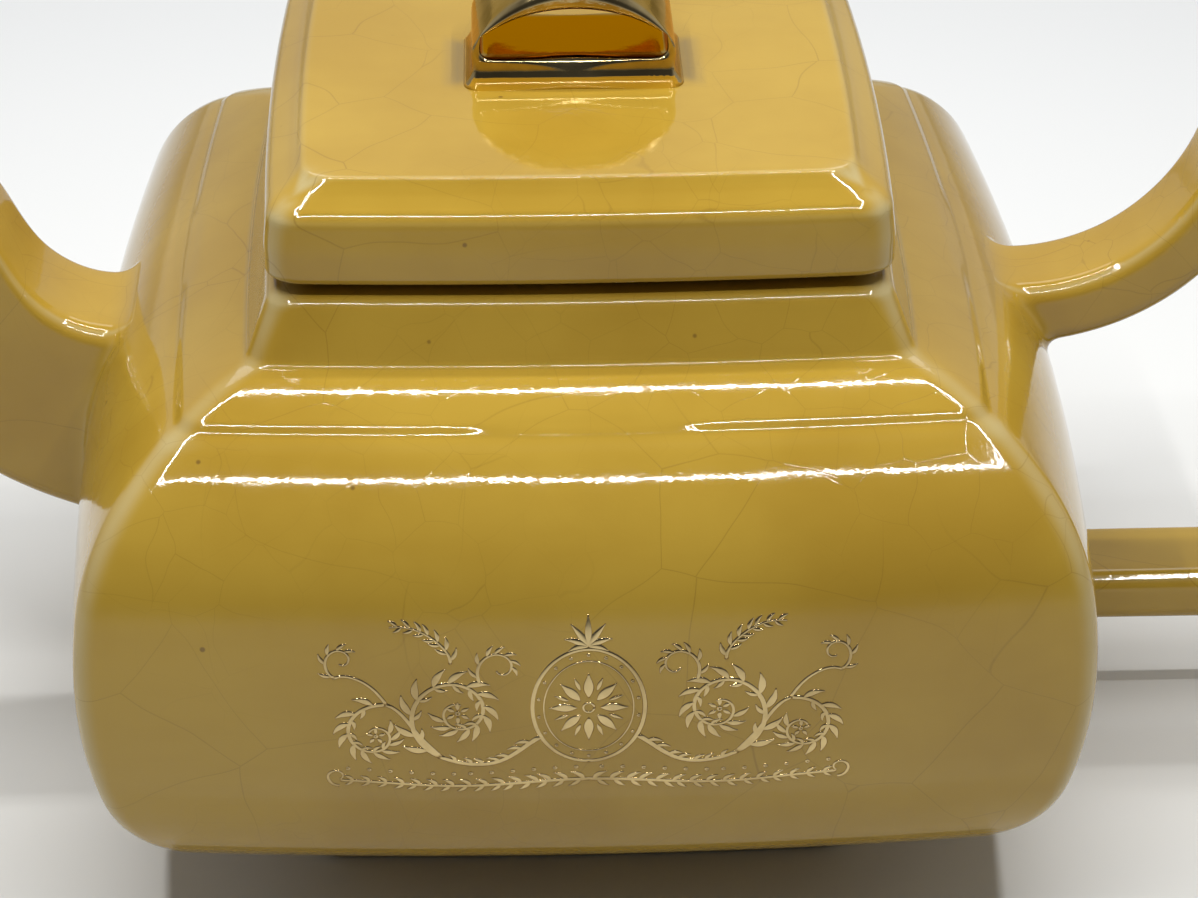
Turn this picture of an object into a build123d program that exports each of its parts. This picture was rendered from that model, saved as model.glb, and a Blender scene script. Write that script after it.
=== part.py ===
"""Square glazed teapot: pot with foot, spout and strap handle, and a loose lid with a bridge knob.

Millimetres. +Z is up and the origin is the centre of the foot's resting plane. The spout
points along -X and the handle along +X.
"""

from build123d import *
import math
import os

os.makedirs("parts", exist_ok=True)

# Pot
BOW_RADIUS = 590.0  # every side is bowed outward on an arc of this radius
CORNER_RADIUS = 3.2  # upright corners of the pot
BASE_Z = 10.2  # flat underside of the vessel, on top of the foot
BASE_HALF = 43.0  # half-width of that flat underside
BELLY_HALF = 58.6  # widest half-width, at the corners
BELLY_Z = 39.5
WALL_FOOT = (56.9, 25.2)  # the wall's arc ends here and the base rounding begins
WALL_HEAD = (57.8, 51.0)  # the wall's arc ends here and the shoulder begins
GROOVE_HALF = 46.0  # groove between the two shoulder steps
GROOVE_Z = 69.4
NECK_FOOT_HALF = 38.4  # where the neck flares into the upper step
NECK_FOOT_Z = 74.0
NECK_HALF = 34.9
RIM_Z = 82.0  # top of the rim, where the lid rests
RIM_ROUND = 2.0  # outer rounding of the rim
MOUTH_HALF = 30.9  # opening inside the neck
MOUTH_Z = 74.0  # the neck's straight inside wall starts here
FLOOR_Z = 14.2  # inside floor

# Foot
FOOT_HALF = 34.0
FOOT_FLARE = 0.8  # extra half-width where the foot meets the pot
FOOT_BAND = 5.5
FOOT_EDGE = 1.2

# Handle: one strap, from the shoulder up, over, down and back to the wall
STRAP_WIDTH = 14.0
STRAP_THICKNESS = 7.4
STRAP_EDGE = 1.8
ARM_ROOT_X = 50.0  # both arms start inside the wall and are trimmed to it
UPPER_ARM_Z = 60.9
LOWER_ARM_Z = 19.1
SWEEP_START_X = 55.4
SWEEP_RADIUS = 27.8
SWEEP_ANGLE = 80.0
LOOP_TOP_RADIUS = 15.0
LEG_LEAN = 6.0  # degrees that the outer leg leans in towards the bottom
HEEL_RADIUS = 18.0

# Spout
SPOUT_WIDTH_ROOT = 19.0
SPOUT_WIDTH_MOUTH = 12.0
SPOUT_WALL = 2.6
SPOUT_EDGE = 1.9
SPOUT_BORE_EDGE = 1.2
SPOUT_ROOT_X = -50.0  # the spout starts inside the wall and is trimmed to it
LIP_Z = 87.0
LIP_TO_BACK = (11.4, 6.4)  # from the lip to the mouth's back edge
STRAINER_HOLE = 3.2
STRAINER_PITCH = 5.2
STRAINER_Z = 49.0

# Lid
LID_HALF = 36.0
LID_CORNER = 4.2
LID_GAP = 0.1  # unglazed seat, between rim and lid
LID_HEIGHT = 11.6
LID_FOOT_ROUND = 1.1
SKIRT_HEIGHT = 7.8
LID_SHOULDER_ROUND = 2.0
TABLE_HALF = 31.4  # flat top of the lid
LID_TOP = 3.8  # thickness of the lid's flat top
FLANGE_HALF = 30.2
FLANGE_BAND = 3.4
FLANGE_DEPTH = 8.0
FLANGE_EDGE = 1.0
VENT_HOLE = 3.0
VENT_Y = 21.0

# Knob
KNOB_HALF = 13.2
KNOB_WAIST_HALF = 12.2  # above the flared base
KNOB_WAIST_Z = 2.4
KNOB_EAVES_HALF = 11.9
KNOB_EAVES_Z = 5.2
KNOB_HEIGHT = 12.3
KNOB_DEPTH = 14.4
SILL = 3.5
PINCH_HALF = 11.1
PINCH_SIDE = 2.8
PINCH_RISE = 3.1

LID_Z = RIM_Z + LID_GAP
TABLE_Z = LID_Z + LID_HEIGHT
LOOP_SWING = (SWEEP_RADIUS + LOOP_TOP_RADIUS) * math.sin(math.radians(SWEEP_ANGLE))
REACH = SWEEP_START_X + LOOP_SWING + LOOP_TOP_RADIUS + STRAP_THICKNESS / 2  # handle and spout


def bowed_square(half, z, corner_radius=CORNER_RADIUS):
    """Square face at height z, with bowed sides and rounded corners."""
    bow = half**2 / (2 * BOW_RADIUS)
    with BuildSketch(Plane.XY.offset(z)) as section:
        with BuildLine():
            for turn in range(4):
                start = Vector(half, -half).rotate(Axis.Z, 90 * turn)
                middle = Vector(half + bow, 0).rotate(Axis.Z, 90 * turn)
                end = Vector(half, half).rotate(Axis.Z, 90 * turn)
                ThreePointArc(start, middle, end)
        make_face()
        fillet(section.vertices(), corner_radius)
    return section.sketch


def stack(outline, count, corner_radius=CORNER_RADIUS):
    """Bowed squares along an outline of (half-width, height), from its start to its end."""
    points = [outline.line @ (step / count) for step in range(count + 1)]
    return [bowed_square(point.X, point.Y, corner_radius) for point in points]


# Outlines of the pot, as (half-width at the corner, height), one for each smooth stretch
with BuildLine() as wall:
    wall_arc = ThreePointArc(WALL_FOOT, (BELLY_HALF, BELLY_Z), WALL_HEAD)

with BuildLine() as base:
    Spline((BASE_HALF, BASE_Z), (51.6, 15.0), WALL_FOOT, tangents=[(1.0, 0.06), wall_arc % 0])

with BuildLine() as shoulder:
    ThreePointArc(WALL_HEAD, (53.9, 61.2), (GROOVE_HALF, GROOVE_Z))

with BuildLine() as upper_step:
    ThreePointArc((GROOVE_HALF, GROOVE_Z), (42.6, 72.0), (NECK_FOOT_HALF, NECK_FOOT_Z))

with BuildLine() as neck_flare:
    flare = Spline(
        (NECK_FOOT_HALF, NECK_FOOT_Z),
        (NECK_HALF, NECK_FOOT_Z + 4.6),
        tangents=[(-0.8, 0.6), (0.0, 1.0)],
    )

with BuildLine() as rim_rounding:
    CenterArc((NECK_HALF - RIM_ROUND, RIM_Z - RIM_ROUND), RIM_ROUND, 0, 90)

# Outlines of the cavity
with BuildLine() as cavity_wall:
    inner_wall = ThreePointArc((53.0, 27.4), (54.4, BELLY_Z), (53.6, 49.6))

with BuildLine() as cavity_base:
    Spline((38.0, FLOOR_Z), (48.4, 18.8), inner_wall @ 0, tangents=[(1.0, 0.06), inner_wall % 0])

with BuildLine() as cavity_shoulder:
    ThreePointArc(inner_wall @ 1, (46.0, 62.8), (MOUTH_HALF, MOUTH_Z))

# Solid form of the pot's outside, which the shell, the spout and the handle are cut by
with BuildPart() as outer_form:
    loft(sections=stack(base, 6))
    loft(sections=stack(wall, 4))
    loft(sections=stack(shoulder, 4))
    loft(sections=stack(upper_step, 3))
    loft(sections=stack(neck_flare, 4))
    neck_top = outer_form.faces().sort_by(Axis.Z)[-1]
    extrude(to_extrude=neck_top, amount=RIM_Z - RIM_ROUND - (flare @ 1).Y)
    loft(sections=stack(rim_rounding, 4))

with BuildPart() as body_shell:
    add(outer_form.part)
    loft(sections=stack(cavity_base, 6), mode=Mode.SUBTRACT)
    loft(sections=stack(cavity_wall, 4), mode=Mode.SUBTRACT)
    loft(sections=stack(cavity_shoulder, 5), mode=Mode.SUBTRACT)
    with BuildSketch(Plane.XY.offset(MOUTH_Z)):
        add(bowed_square(MOUTH_HALF, MOUTH_Z))
    extrude(amount=RIM_Z - MOUTH_Z, mode=Mode.SUBTRACT)
    with BuildSketch(Plane(origin=(SPOUT_ROOT_X, 0, STRAINER_Z), x_dir=(0, 1, 0), z_dir=(-1, 0, 0))):
        with GridLocations(STRAINER_PITCH, STRAINER_PITCH, 2, 4):
            Circle(STRAINER_HOLE / 2)
    extrude(amount=20, mode=Mode.SUBTRACT)
body_shell.part.label = "body_shell"
export_step(body_shell.part, "parts/body_shell.step")

with BuildPart() as foot_rim:
    loft(sections=[bowed_square(FOOT_HALF, 0.0), bowed_square(FOOT_HALF + FOOT_FLARE, BASE_Z)])
    with BuildSketch(Plane.XY):
        add(bowed_square(FOOT_HALF - FOOT_BAND, 0.0))
    extrude(amount=BASE_Z, mode=Mode.SUBTRACT)
    fillet(foot_rim.faces().sort_by(Axis.Z)[0].edges(), FOOT_EDGE)
foot_rim.part.label = "foot_rim"
export_step(foot_rim.part, "parts/foot_rim.step")

# Spout: cross-sections between a roof line and a floor line, both as (x, height)
LIP = (-REACH, LIP_Z)
MOUTH_BACK = (LIP[0] + LIP_TO_BACK[0], LIP[1] + LIP_TO_BACK[1])

with BuildLine() as spout_roof:
    Spline(
        (SPOUT_ROOT_X, 62.4),
        (-60.0, 62.6),
        (-66.2, 66.4),
        (-71.0, 75.0),
        (-81.0, 86.4),
        MOUTH_BACK,
        tangents=[(-1.0, 0.0), (-1.0, 0.22)],
    )

with BuildLine() as spout_floor:
    Spline(
        (SPOUT_ROOT_X, 33.6),
        (-63.1, 36.6),
        (-73.5, 41.6),
        (-87.5, 55.0),
        (-99.0, 71.5),
        LIP,
        tangents=[(-1.0, 0.1), (-1.0, 0.8)],
    )


def spout_section(share, wall_taken, edge):
    """Rounded rectangle across the spout, at a share of its length from root to mouth."""
    roof = spout_roof.line @ share
    floor = spout_floor.line @ share
    across = (roof - floor).normalized()
    middle = (roof + floor) / 2
    width = SPOUT_WIDTH_ROOT + (SPOUT_WIDTH_MOUTH - SPOUT_WIDTH_ROOT) * share
    plane = Plane(origin=(middle.X, 0, middle.Y), x_dir=(0, 1, 0), z_dir=(-across.Y, 0, across.X))
    with BuildSketch(plane) as section:
        RectangleRounded(width - 2 * wall_taken, (roof - floor).length - 2 * wall_taken, edge)
    return section.sketch


def spout_stack(wall_taken, edge, steps=10):
    """Spout sections from the root to the mouth."""
    return [spout_section(step / steps, wall_taken, edge) for step in range(steps + 1)]


with BuildPart() as spout:
    loft(sections=spout_stack(0.0, SPOUT_EDGE))
    loft(sections=spout_stack(SPOUT_WALL, SPOUT_BORE_EDGE), mode=Mode.SUBTRACT)
    add(outer_form.part, mode=Mode.SUBTRACT)
spout.part.label = "spout"
export_step(spout.part, "parts/spout.step")

with BuildPart() as handle:
    with BuildLine(Plane.XZ) as loop:
        upper_root = Line((ARM_ROOT_X, UPPER_ARM_Z), (SWEEP_START_X, UPPER_ARM_Z))
        sweep_up = JernArc(upper_root @ 1, upper_root % 1, SWEEP_RADIUS, SWEEP_ANGLE)
        turn_over = JernArc(sweep_up @ 1, sweep_up % 1, LOOP_TOP_RADIUS, -90.0 - SWEEP_ANGLE - LEG_LEAN)
        heel_drop = HEEL_RADIUS * (1 - math.sin(math.radians(LEG_LEAN)))
        leg_drop = (turn_over @ 1).Z - LOWER_ARM_Z - heel_drop
        leg = PolarLine(turn_over @ 1, leg_drop / math.cos(math.radians(LEG_LEAN)), -90.0 - LEG_LEAN)
        heel = JernArc(leg @ 1, leg % 1, HEEL_RADIUS, LEG_LEAN - 90.0)
        Line(heel @ 1, (ARM_ROOT_X, LOWER_ARM_Z))
    with BuildSketch(Plane(origin=(ARM_ROOT_X, 0, UPPER_ARM_Z), x_dir=(0, 1, 0), z_dir=(1, 0, 0))):
        RectangleRounded(STRAP_WIDTH, STRAP_THICKNESS, STRAP_EDGE)
    sweep()
    add(outer_form.part, mode=Mode.SUBTRACT)
handle.part.label = "handle"
export_step(handle.part, "parts/handle.step")

# Outlines of the lid, from the seat up: lower edge, skirt, rounded shoulder, hollow slope
with BuildLine() as lid_foot:
    CenterArc((LID_HALF - LID_FOOT_ROUND, LID_Z + LID_FOOT_ROUND), LID_FOOT_ROUND, -90, 90)

with BuildLine() as lid_skirt:
    Line((LID_HALF, LID_Z + LID_FOOT_ROUND), (LID_HALF, LID_Z + SKIRT_HEIGHT))

with BuildLine() as lid_shoulder:
    shoulder_arc = JernArc((LID_HALF, LID_Z + SKIRT_HEIGHT), (0.0, 1.0), LID_SHOULDER_ROUND, 62.0)

with BuildLine() as lid_slope:
    Spline(shoulder_arc @ 1, (TABLE_HALF, TABLE_Z), tangents=[shoulder_arc % 1, (-0.75, 0.66)])

with BuildPart() as lid_shell:
    loft(sections=stack(lid_foot, 3, LID_CORNER))
    loft(sections=stack(lid_skirt, 1, LID_CORNER))
    loft(sections=stack(lid_shoulder, 4, LID_CORNER))
    loft(sections=stack(lid_slope, 5, LID_CORNER))
    with BuildSketch(Plane.XY.offset(LID_Z)):
        add(bowed_square(FLANGE_HALF - FLANGE_BAND, LID_Z))
    extrude(amount=LID_HEIGHT - LID_TOP, mode=Mode.SUBTRACT)
    with Locations((0, VENT_Y, TABLE_Z)):
        Hole(VENT_HOLE / 2)
lid_shell.part.label = "lid_shell"
export_step(lid_shell.part, "parts/lid_shell.step")

with BuildPart() as lid_flange:
    with BuildSketch(Plane.XY.offset(LID_Z)):
        add(bowed_square(FLANGE_HALF, LID_Z))
        add(bowed_square(FLANGE_HALF - FLANGE_BAND, LID_Z), mode=Mode.SUBTRACT)
    extrude(amount=-FLANGE_DEPTH)
    fillet(lid_flange.faces().sort_by(Axis.Z)[0].edges(), FLANGE_EDGE)
lid_flange.part.label = "lid_flange"
export_step(lid_flange.part, "parts/lid_flange.step")

# Knob: a bridge of one section, with a raised sill and an arched opening for finger and thumb
with BuildPart() as knob:
    with BuildSketch(Plane.XZ.offset(-KNOB_DEPTH / 2)):
        with BuildLine():
            Polyline(
                (-KNOB_EAVES_HALF, TABLE_Z + KNOB_EAVES_Z),
                (-KNOB_WAIST_HALF, TABLE_Z + KNOB_WAIST_Z),
                (-KNOB_HALF, TABLE_Z),
                (KNOB_HALF, TABLE_Z),
                (KNOB_WAIST_HALF, TABLE_Z + KNOB_WAIST_Z),
                (KNOB_EAVES_HALF, TABLE_Z + KNOB_EAVES_Z),
            )
            ThreePointArc(
                (KNOB_EAVES_HALF, TABLE_Z + KNOB_EAVES_Z),
                (0, TABLE_Z + KNOB_HEIGHT),
                (-KNOB_EAVES_HALF, TABLE_Z + KNOB_EAVES_Z),
            )
        make_face()
        with BuildLine():
            Polyline(
                (-PINCH_HALF, TABLE_Z + SILL + PINCH_SIDE),
                (-PINCH_HALF, TABLE_Z + SILL),
                (PINCH_HALF, TABLE_Z + SILL),
                (PINCH_HALF, TABLE_Z + SILL + PINCH_SIDE),
            )
            ThreePointArc(
                (PINCH_HALF, TABLE_Z + SILL + PINCH_SIDE),
                (0, TABLE_Z + SILL + PINCH_SIDE + PINCH_RISE),
                (-PINCH_HALF, TABLE_Z + SILL + PINCH_SIDE),
            )
        make_face(mode=Mode.SUBTRACT)
    extrude(amount=KNOB_DEPTH)
knob.part.label = "knob"
export_step(knob.part, "parts/knob.step")
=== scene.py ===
"""Looks of the square glazed teapot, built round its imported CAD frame.

Lengths in the shape code are millimetres, and turn into metres where a mesh is made. The frame is
the CAD's: +Z up, origin under the foot, spout along -X, handle along +X, decorated face towards -Y.
"""

import math

import bmesh
import bpy
import numpy as np
from mathutils import Matrix, Vector, noise


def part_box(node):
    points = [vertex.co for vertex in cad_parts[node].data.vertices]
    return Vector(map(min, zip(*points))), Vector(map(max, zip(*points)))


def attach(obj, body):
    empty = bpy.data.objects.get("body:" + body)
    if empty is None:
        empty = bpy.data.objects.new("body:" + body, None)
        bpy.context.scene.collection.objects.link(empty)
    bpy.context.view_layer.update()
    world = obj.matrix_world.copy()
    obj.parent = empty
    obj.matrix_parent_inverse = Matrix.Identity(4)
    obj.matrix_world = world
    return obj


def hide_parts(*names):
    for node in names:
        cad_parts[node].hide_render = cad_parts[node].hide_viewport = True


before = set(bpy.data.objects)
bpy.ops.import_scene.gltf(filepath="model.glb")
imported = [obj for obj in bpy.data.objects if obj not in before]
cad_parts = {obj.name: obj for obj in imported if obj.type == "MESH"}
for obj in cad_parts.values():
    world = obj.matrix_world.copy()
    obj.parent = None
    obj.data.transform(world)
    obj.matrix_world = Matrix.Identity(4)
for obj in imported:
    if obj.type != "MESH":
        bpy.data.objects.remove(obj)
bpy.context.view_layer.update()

MM = 0.001

# Pot, as in the CAD source
BOW_RADIUS = 590.0
CORNER_RADIUS = 3.2
BASE_Z = 10.2
BASE_HALF = 43.0
WALL_FOOT = (56.9, 25.2)
BELLY = (58.6, 39.5)
WALL_HEAD = (57.8, 51.0)
RIM_Z = 82.0
RIM_TOP = 80.8  # top of the rim itself, 0.1 under the lid's underside
MOUTH_HALF = 30.9
MOUTH_Z = 74.0
FLOOR_Z = 14.2
FOOT_HALF = 34.0
FOOT_BAND = 5.5
FOOT_EDGE = 1.2

# Handle and spout
STRAP_WIDTH = 14.0
STRAP_THICKNESS = 7.4
ARM_ROOT_X = 50.0
UPPER_ARM_Z = 60.9
LOWER_ARM_Z = 19.1
SWEEP_START_X = 55.4
SWEEP_RADIUS = 27.8
SWEEP_ANGLE = 80.0
LOOP_TOP_RADIUS = 15.0
LEG_LEAN = 6.0
HEEL_RADIUS = 18.0
SPOUT_WIDTHS = (19.0, 12.0)
SPOUT_WALL = 2.6
SPOUT_ROOT_X = -50.0
STRAINER_Z = 49.0
STRAINER_PITCH = 5.2
STRAINER_HOLE = 3.2

# Lid and knob
LID_HALF = 36.0
LID_CORNER = 4.2
LID_Z = RIM_Z + 0.1
LID_HEIGHT = 11.6
LID_FOOT_ROUND = 1.1
SKIRT_HEIGHT = 6.9
LID_SHOULDER_ROUND = 2.6
TABLE_HALF = 31.4
LID_TOP = 3.8
FLANGE_HALF = 30.2
FLANGE_BAND = 3.4
FLANGE_DEPTH = 8.0
VENT_Y = 21.0
VENT_HOLE = 3.0
TABLE_Z = LID_Z + LID_HEIGHT


# ---------------------------------------------------------------- lines in a plane

def unit(vector):
    vector = np.asarray(vector, float)
    return vector / np.linalg.norm(vector)


def even(points, count):
    """The same line as count equal steps."""
    points = np.asarray(points, float)
    lengths = np.linalg.norm(np.diff(points, axis=0), axis=1)
    along = np.concatenate([[0.0], np.cumsum(lengths)])
    wanted = np.linspace(0.0, along[-1], count + 1)
    return np.column_stack([np.interp(wanted, along, column) for column in points.T])


def line(start, end, count=1):
    return np.linspace(start, end, count + 1)


def arc(centre, radius, first, last, count):
    """Arc about a centre, from one angle to another in degrees."""
    angles = np.radians(np.linspace(first, last, count + 1))
    return np.asarray(centre) + radius * np.column_stack([np.cos(angles), np.sin(angles)])


def arc_through(a, b, c, count):
    """Arc from a by b to c."""
    a, b, c = (complex(*point) for point in (a, b, c))
    w = (c - a) / (b - a)
    centre = (b - a) * (w - abs(w) ** 2) / (2j * w.imag) + a
    start = a - centre
    turn = np.angle((c - centre) / start)
    if np.angle((b - centre) / start) * turn < 0:
        turn -= math.copysign(2 * math.pi, turn)
    points = centre + start * np.exp(1j * np.linspace(0.0, turn, count + 1))
    return np.column_stack([points.real, points.imag])


def spline(points, start, end, count):
    """Smooth line through points that leaves along start and arrives along end."""
    points = np.asarray(points, float)
    chords = np.linalg.norm(np.diff(points, axis=0), axis=1)
    last = len(points) - 1
    system = np.eye(last + 1)
    known = np.zeros_like(points)
    known[0] = unit(start)
    known[last] = unit(end)
    for i in range(1, last):
        before, after = chords[i - 1], chords[i]
        system[i, i - 1 : i + 2] = after, 2 * (before + after), before
        known[i] = 3 * after * (points[i] - points[i - 1]) / before
        known[i] += 3 * before * (points[i + 1] - points[i]) / after
    slopes = np.linalg.solve(system, known)
    t = np.linspace(0.0, 1.0, 81)[:, None]
    fine = []
    for i in range(last):
        fine.append(
            (2 * t**3 - 3 * t**2 + 1) * points[i]
            + (t**3 - 2 * t**2 + t) * chords[i] * slopes[i]
            + (3 * t**2 - 2 * t**3) * points[i + 1]
            + (t**3 - t**2) * chords[i] * slopes[i + 1]
        )
    return even(np.vstack(fine), count)


def chain(*lines):
    """Lines joined end to end, with each shared point kept once."""
    return np.vstack([lines[0]] + [part[1:] for part in lines[1:]])


# ---------------------------------------------------------------- meshes from rings

def bowed_ring(half, z, corner_radius, side_steps=40, corner_steps=10):
    """Square ring with sides bowed on BOW_RADIUS and rounded corners."""
    bow = half**2 / (2 * BOW_RADIUS)
    radius = (half**2 + bow**2) / (2 * bow)
    centre = half + bow - radius
    inner = radius - corner_radius
    q = (centre + math.sqrt(2 * inner**2 - centre**2)) / 2
    tip = math.degrees(math.atan2(q, q - centre))
    side = arc((centre, 0.0), radius, -tip, tip, side_steps)
    corner = arc((q, q), corner_radius, tip, 90 - tip, corner_steps)
    quarter = chain(side, corner)[:-1]
    x, y = quarter.T
    ring = np.vstack([quarter, np.column_stack([-y, x]), -quarter, np.column_stack([y, -x])])
    return np.column_stack([ring, np.full(len(ring), float(z))])


def bowed_stack(outline, corner_radius):
    """Bowed rings along an outline of (half-width, height)."""
    return [bowed_ring(half, z, min(corner_radius, 0.4 * half)) for half, z in outline]


def ring_faces(ring_count, size, wrap=False):
    faces = []
    for r in range(ring_count if wrap else ring_count - 1):
        here, there = r * size, (r + 1) % ring_count * size
        for i in range(size):
            j = (i + 1) % size
            faces.append((here + i, here + j, there + j, there + i))
    return faces


def mesh_object(name, points, faces):
    """Smooth mesh object from points in millimetres, with its faces turned outward."""
    mesh = bpy.data.meshes.new(name)
    mesh.from_pydata((np.asarray(points) * MM).tolist(), [], faces)
    work = bmesh.new()
    work.from_mesh(mesh)
    bmesh.ops.recalc_face_normals(work, faces=work.faces)
    work.to_mesh(mesh)
    work.free()
    mesh.shade_smooth()
    obj = bpy.data.objects.new(name, mesh)
    bpy.context.scene.collection.objects.link(obj)
    return obj


def rings_object(name, rings, wrap=False, capped=True):
    """Skin over rings of equal size. An unwrapped skin is closed with a middle point at each end."""
    size = len(rings[0])
    points = np.vstack(rings)
    faces = ring_faces(len(rings), size, wrap)
    if not wrap and capped:
        first, last = len(points), len(points) + 1
        points = np.vstack([points, rings[0].mean(0), rings[-1].mean(0)])
        offset = (len(rings) - 1) * size
        for i in range(size):
            j = (i + 1) % size
            faces.append((first, j, i))
            faces.append((last, offset + i, offset + j))
    return mesh_object(name, points, faces)


def cut(obj, cutter):
    """Takes the cutter out of obj for good and removes the cutter."""
    modifier = obj.modifiers.new("cut", "BOOLEAN")
    modifier.operation = "DIFFERENCE"
    modifier.solver = "FAST"
    modifier.object = cutter
    bpy.context.view_layer.update()
    done = bpy.data.meshes.new_from_object(obj.evaluated_get(bpy.context.evaluated_depsgraph_get()))
    obj.modifiers.clear()
    obj.data = done
    obj.data.name = obj.name
    bpy.data.objects.remove(cutter)


def points_of(obj):
    """Vertex places in millimetres."""
    flat = np.empty(len(obj.data.vertices) * 3, np.float32)
    obj.data.vertices.foreach_get("co", flat)
    return flat.reshape(-1, 3).astype(float) / MM


def mark(obj, name, values):
    """Stores one number per vertex for the material to read."""
    attribute = obj.data.attributes.new(name, "FLOAT", "POINT")
    attribute.data.foreach_set("value", np.asarray(values, np.float32))


def hand_made(obj, depth, scale):
    """Moves the surface by a slow, repeatable unevenness, as glazed clay has it."""
    obj.data.update()
    for vertex in obj.data.vertices:
        place = vertex.co / (scale * MM)
        vertex.co += vertex.normal * (noise.noise(place) * depth * MM)


def bump(values, centre, width):
    """1 at the centre, falling smoothly to 0 a width or two away."""
    return np.exp(-(((np.asarray(values) - centre) / width) ** 2))


# ---------------------------------------------------------------- the pot's body

def body_outer():
    """Outside outline (half-width at the corner, height), from the underside to the neck."""
    wall = arc_through(WALL_FOOT, BELLY, WALL_HEAD, 16)
    base = spline([(BASE_HALF, BASE_Z), (51.6, 15.0), WALL_FOOT], (1.0, 0.06), wall[1] - wall[0], 16)
    lower_step = chain(
        arc_through(WALL_HEAD, (54.7, 59.9), (48.6, 67.4), 22),
        spline([(48.6, 67.4), (46.6, 68.75)], (-0.77, 0.64), (-0.90, 0.44), 5),
    )
    lip = spline([(46.6, 68.75), (45.2, 70.1)], (-0.90, 0.44), (-0.86, 0.51), 9)
    upper_step = spline([(45.2, 70.1), (42.0, 71.85), (38.95, 73.05)], (-0.86, 0.51), (-0.95, 0.31), 12)
    inner_corner = spline([(38.95, 73.05), (38.1, 74.0)], (-0.95, 0.31), (-0.36, 0.93), 9)
    neck = line((38.1, 74.0), (36.0, 79.4), 10)
    return chain(base, wall, lower_step, lip, upper_step, inner_corner, neck)


OUTER = body_outer()


def half_at(z):
    """Half-width of the pot at its corners, at a height between the base and the neck."""
    return np.interp(z, OUTER[:, 1], OUTER[:, 0])


def face_distance(across, z):
    """How far the middle plane is from the pot's bowed face, at a place across it and up it."""
    half = half_at(z)
    return half + (half**2 - np.asarray(across) ** 2) / (2 * BOW_RADIUS)


def face_normal(across, z, step=0.3):
    """Outward direction of that face as (out, across, up)."""
    up = (face_distance(across, z + step) - face_distance(across, z - step)) / (2 * step)
    over = (face_distance(across + step, z) - face_distance(across - step, z)) / (2 * step)
    normal = np.column_stack([np.ones_like(up), -over, -up])
    return normal / np.linalg.norm(normal, axis=1)[:, None]


def make_body():
    underside = line((1.5, BASE_Z), (BASE_HALF, BASE_Z), 8)
    rim = spline([(36.0, 79.4), (34.7, 80.45)], (-0.36, 0.93), (-1.0, 0.10), 9)
    lip = arc((MOUTH_HALF + 0.8, RIM_TOP - 0.8), 0.8, 90, 180, 4)
    mouth = line(lip[-1], (MOUTH_HALF, MOUTH_Z), 4)
    inner_wall = arc_through((53.6, 49.6), (54.4, BELLY[1]), (53.0, 27.4), 10)
    inner_shoulder = arc_through((MOUTH_HALF, MOUTH_Z), (46.0, 62.8), (53.6, 49.6), 16)
    base_start = inner_wall[-1] - inner_wall[-2]
    inner_base = spline([(53.0, 27.4), (48.4, 18.8), (38.0, FLOOR_Z)], base_start, (-1.0, -0.06), 12)
    floor = line((38.0, FLOOR_Z), (1.5, FLOOR_Z), 6)
    inside = (mouth, inner_shoulder, inner_wall, inner_base, floor)
    outline = chain(underside, OUTER, rim, line(rim[-1], lip[0]), lip, *inside)
    body = rings_object("pot_body", bowed_stack(outline, CORNER_RADIUS))
    cut(body, strainer_cutter())
    soften_groove(body)
    hand_made(body, 0.03, 14.0)
    x, y, z = np.abs(points_of(body)).T
    outside = np.clip(np.maximum(x, y) - MOUTH_HALF - 1.5, 0, 1)
    ridge = bump(x - y, 0.0, 2.6)
    thin = ridge * (0.9 - 0.25 * bump(z, 74.0, 2.5)) + 0.55 * bump(z, 79.9, 0.5) + 0.25 * bump(z, 73.2, 0.3)
    thin += 0.30 * bump(z, 68.2, 0.7) * outside
    # Painted shade: the neck is painted darker where the lid's overhang shades it, and the colour is darker
    # along the groove.
    painted_shade = 0.30 * bump(z, 76.4, 2.6) + 0.30 * bump(z, 69.4, 0.4)
    mark(body, "glaze_thin_and_shade", (thin - painted_shade * (1 - ridge)) * outside)
    return body


def soften_groove(body):
    """Fills the groove and shaves its lip towards the middle of each side, where the steps run together."""
    place = points_of(body)
    x, y, z = np.abs(place).T
    along = np.minimum(x, y) / 46.0
    middle = np.clip(1.3 - (along / 0.26) ** 2, 0, 1) * (np.maximum(x, y) > 40)
    amount = (bump(z, 69.05, 0.35) - bump(z, 70.0, 0.35)) * middle
    for vertex, shift in zip(body.data.vertices, amount):
        if abs(shift) > 0.01:
            vertex.co += vertex.normal * (0.12 * shift * MM)


def strainer_cutter():
    """Rods through the wall where the spout leaves it."""
    points, faces = [], []
    for column in (-0.5, 0.5):
        for row in (-1.5, -0.5, 0.5, 1.5):
            centre = (column * STRAINER_PITCH, STRAINER_Z + row * STRAINER_PITCH)
            circle = arc(centre, STRAINER_HOLE / 2, 0, 360, 20)[:-1]
            start = len(points)
            for x in (SPOUT_ROOT_X, SPOUT_ROOT_X - 20):
                points += [(x, y, z) for y, z in circle]
            faces += [tuple(start + i for i in face) for face in ring_faces(2, 20)]
            faces.append(tuple(range(start, start + 20)))
            faces.append(tuple(range(start + 39, start + 19, -1)))
    return mesh_object("strainer_cutter", points, faces)


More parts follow.
